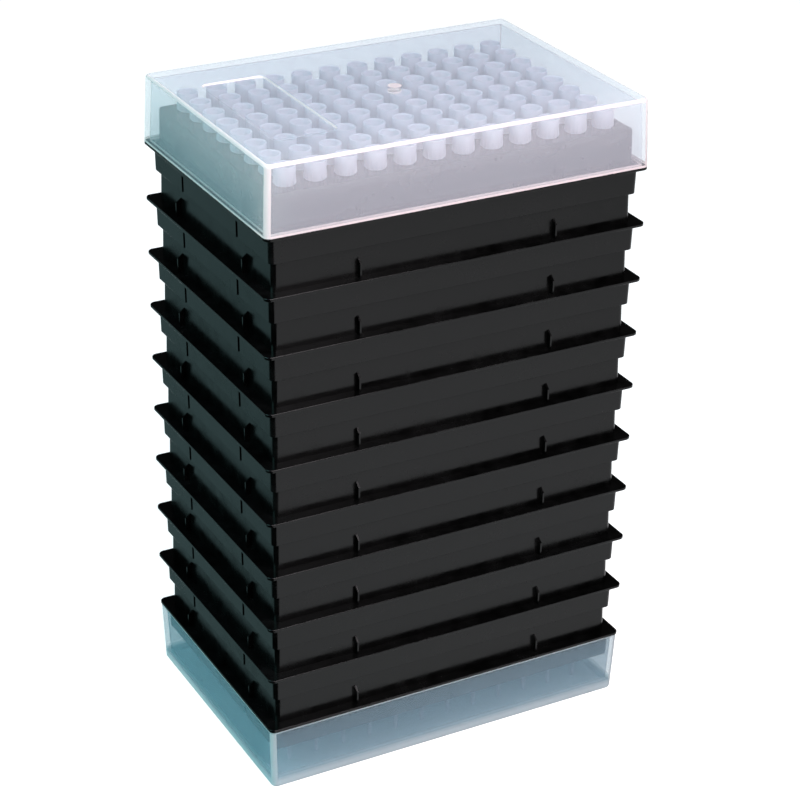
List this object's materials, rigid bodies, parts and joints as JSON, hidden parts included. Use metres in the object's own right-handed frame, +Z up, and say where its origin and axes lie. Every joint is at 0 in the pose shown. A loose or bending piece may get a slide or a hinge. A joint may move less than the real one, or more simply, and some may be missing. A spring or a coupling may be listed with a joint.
{
  "type": "box of pipette tips",
  "caption": "Refill tower for pipette tips: black moulded racks of natural tips, nested one on another, standing in a shallow milky tray under a milky lid that lifts off.",
  "frame": {"origin": "middle of the tray's underside, on the surface that the tower stands on", "axes": "+Z up through the tower, +X along the racks' long sides towards the end away from the lid's label recess, +Y along their short sides towards the back"},
  "size_m": [0.1194, 0.0824, 0.1954],
  "materials": {
    "milky_polypropylene": "natural, milky, semi-gloss moulding",
    "black_polypropylene": "semi-gloss moulding",
    "natural_tip_polypropylene": "natural, frosted"
  },
  "bodies": {
    "stack": {"base_tray": "milky_polypropylene", "rack_01": "black_polypropylene", "rack_02": "black_polypropylene", "rack_03": "black_polypropylene", "rack_04": "black_polypropylene", "rack_05": "black_polypropylene", "rack_06": "black_polypropylene", "rack_07": "black_polypropylene", "rack_08": "black_polypropylene", "rack_09": "black_polypropylene", "rack_10": "black_polypropylene", "tips_01": "natural_tip_polypropylene", "tips_02": "natural_tip_polypropylene", "tips_03": "natural_tip_polypropylene", "tips_04": "natural_tip_polypropylene", "tips_05": "natural_tip_polypropylene", "tips_06": "natural_tip_polypropylene", "tips_07": "natural_tip_polypropylene", "tips_08": "natural_tip_polypropylene", "tips_09": "natural_tip_polypropylene", "tips_10": "natural_tip_polypropylene"},
    "lid": {"lid": "milky_polypropylene"}
  },
  "joints": [
    {"name": "lid_lift", "type": "slide", "parent": "stack", "child": "lid", "axis": [0, 0, 1], "range_m": [0, 0.03]}
  ]
}
